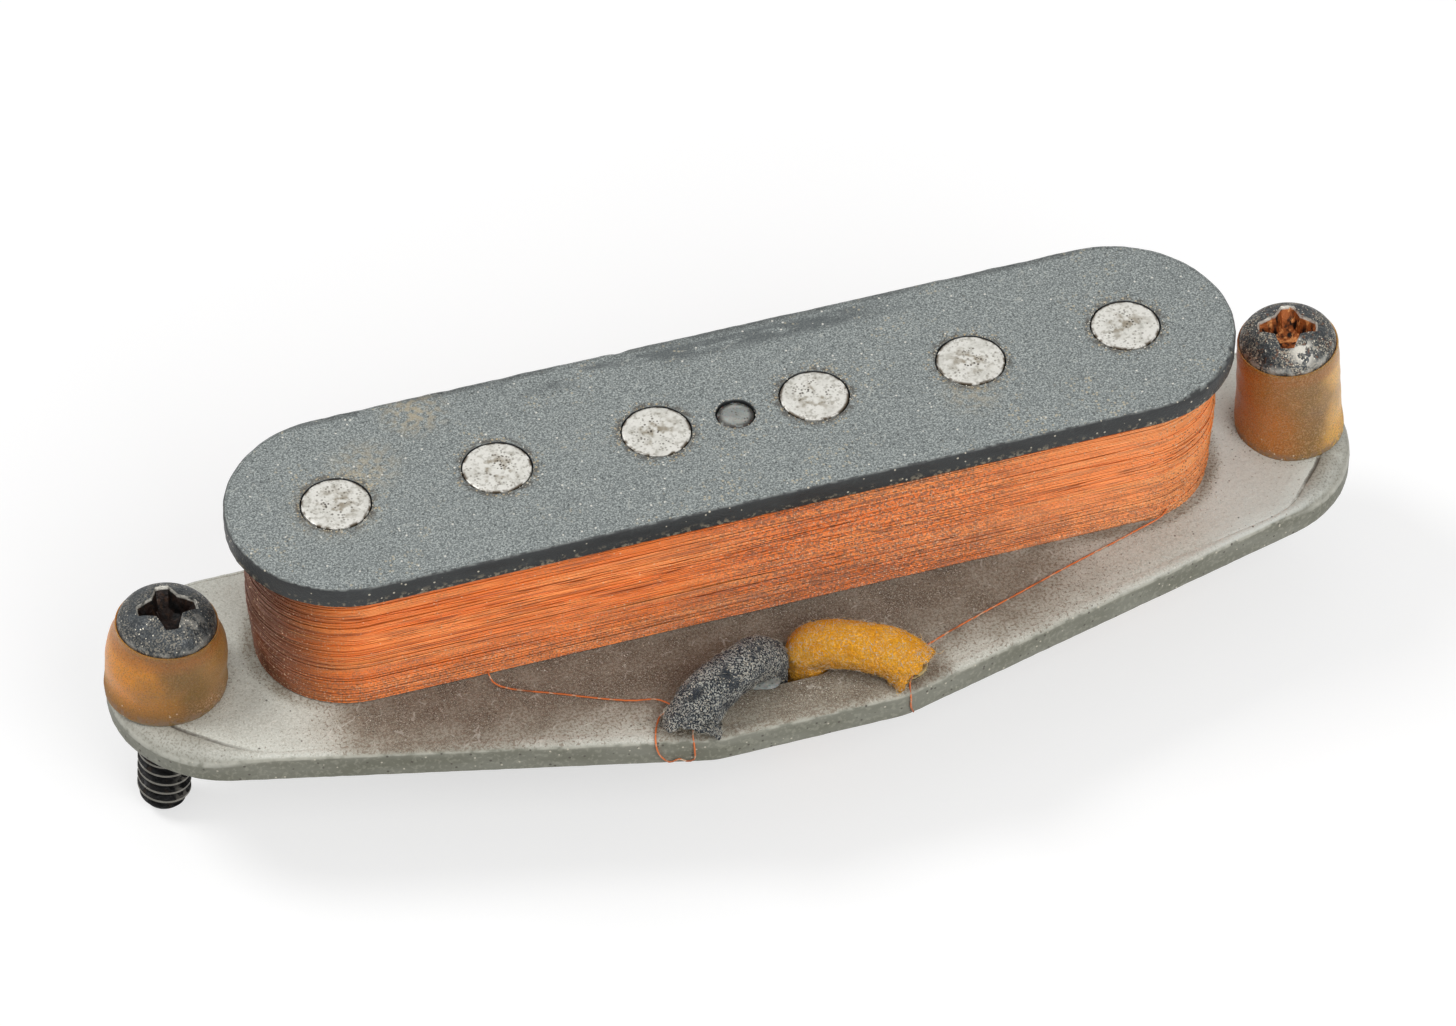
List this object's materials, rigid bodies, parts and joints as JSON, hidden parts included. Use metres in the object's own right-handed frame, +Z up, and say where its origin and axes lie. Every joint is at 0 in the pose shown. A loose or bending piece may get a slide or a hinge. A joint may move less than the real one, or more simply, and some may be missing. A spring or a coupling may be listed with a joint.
{
  "type": "guitar pickup",
  "caption": "Single-coil guitar pickup: wire coil between fibre plates around rod magnets, with cloth leads and height screws in rubber tubes.",
  "frame": {"origin": "under the middle of the bottom plate, level with the lowest screw tip and the laid leads", "axes": "+X along the row of magnets, +Y away from the two lead eyelets, +Z up out of the top plate"},
  "size_m": [0.0838, 0.0373, 0.023],
  "materials": {
    "black_fibre": "matte, dusty, darker on the cut edge",
    "grey_fibre": "matte fibre with fine speckle, dusty",
    "magnet_alloy": "ground grey metal, pitted and speckled",
    "enamelled_wire": "fine glossy orange enamelled copper wire",
    "eyelet_brass": "dull tinned brass",
    "solder": "bright, smooth solder",
    "tinned_copper": "tinned copper strands",
    "black_cloth": "waxed black cotton braid, worn",
    "yellow_cloth": "yellow cotton braid, felted, frayed",
    "tie_thread": "plain cotton tape",
    "wax": "dusty grey wax",
    "screw_steel": "dark nickel, worn bright on the edges, light rust",
    "amber_rubber": "amber latex rubber, translucent, dusty"
  },
  "bodies": {
    "root": {"pole_magnet_1": "magnet_alloy", "pole_magnet_2": "magnet_alloy", "pole_magnet_3": "magnet_alloy", "pole_magnet_4": "magnet_alloy", "pole_magnet_5": "magnet_alloy", "pole_magnet_6": "magnet_alloy", "top_plate": "black_fibre", "wax_plug": "wax", "bottom_plate": "grey_fibre", "coil_core": "enamelled_wire", "coil_outer_turns": "enamelled_wire", "coil_finish_wire": "enamelled_wire", "coil_start_wire": "enamelled_wire", "black_lead_eyelet": "eyelet_brass", "black_solder_joint": "solder", "black_conductor": "tinned_copper", "yellow_lead_eyelet": "eyelet_brass", "yellow_solder_joint": "solder", "yellow_conductor": "tinned_copper", "black_lead_arch": "black_cloth", "yellow_lead_arch": "yellow_cloth", "black_lead_tail": "black_cloth", "black_lead_hank": "black_cloth", "black_lead_tip": "tinned_copper", "yellow_lead_tail": "yellow_cloth", "yellow_lead_hank": "yellow_cloth", "yellow_lead_tip": "tinned_copper", "lead_tie": "tie_thread"},
    "left_tube": {"left_rubber_tube": "amber_rubber"},
    "left_screw": {"left_height_screw": "screw_steel"},
    "right_tube": {"right_rubber_tube": "amber_rubber"},
    "right_screw": {"right_height_screw": "screw_steel"}
  },
  "joints": [
    {"name": "left_screw_travel", "type": "slide", "parent": "root", "child": "left_tube", "axis": [0.0698, 0, 0.9976], "range_m": [-0.0009, 0.0031], "deforming": ["left_rubber_tube"]},
    {"name": "left_screw_turn", "type": "hinge", "parent": "left_tube", "child": "left_screw", "pos_m": [-0.0381, 0.00389, 0.01002], "axis": [0.0698, 0, 0.9976], "range_deg": [-408.6, 1407.4]},
    {"name": "right_screw_travel", "type": "slide", "parent": "root", "child": "right_tube", "axis": [-0.0698, 0, 0.9976], "range_m": [-0.0032, 0.0008], "deforming": ["right_rubber_tube"]},
    {"name": "right_screw_turn", "type": "hinge", "parent": "right_tube", "child": "right_screw", "pos_m": [0.0381, 0.00389, 0.01002], "axis": [-0.0698, 0, 0.9976], "range_deg": [-1452.8, 363.2]}
  ],
  "couplings": [
    {"joint": "left_screw_turn", "follows": "left_screw_travel", "rad_per_m": 7915.8},
    {"joint": "right_screw_turn", "follows": "right_screw_travel", "rad_per_m": 7915.8}
  ]
}
